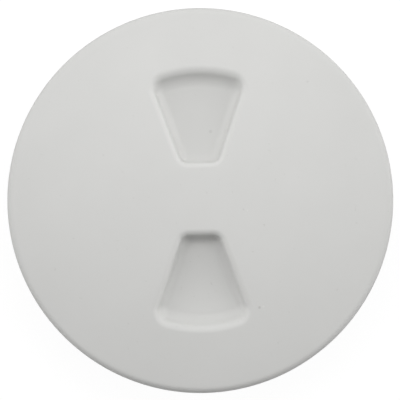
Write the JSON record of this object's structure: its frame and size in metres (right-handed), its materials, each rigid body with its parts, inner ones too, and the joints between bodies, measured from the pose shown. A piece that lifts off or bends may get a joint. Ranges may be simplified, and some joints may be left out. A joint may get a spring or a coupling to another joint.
{
  "type": "deck inspection plate",
  "caption": "Round screw-in deck access plate: a flanged ring for the deck and a sealed, threaded full-width cover turned by two fan-shaped finger recesses.",
  "frame": {"origin": "on the turning axis, on the deck's surface, which the underside of the flange rests on", "axes": "+Z out of the deck along the turning axis; +Y through the middle of one finger recess"},
  "size_m": [0.143, 0.143, 0.0302],
  "materials": {
    "ring_plastic": "satin moulded white",
    "seal_rubber": "matt black",
    "cover_plastic": "satin moulded white"
  },
  "bodies": {
    "deck_ring": {"deck_ring": "ring_plastic"},
    "seal": {"o_ring": "seal_rubber"},
    "cover": {"cover": "cover_plastic"}
  },
  "joints": [
    {"name": "cover_rise", "type": "slide", "parent": "deck_ring", "child": "seal", "axis": [0, 0, 1], "range_m": [0, 0.01125]},
    {"name": "cover_turn", "type": "hinge", "parent": "seal", "child": "cover", "pos_m": [0, 0, 0], "axis": [0, 0, 1], "range_deg": [0, 810]}
  ],
  "couplings": [
    {"joint": "cover_rise", "follows": "cover_turn", "m_per_rad": 0.00079577}
  ]
}
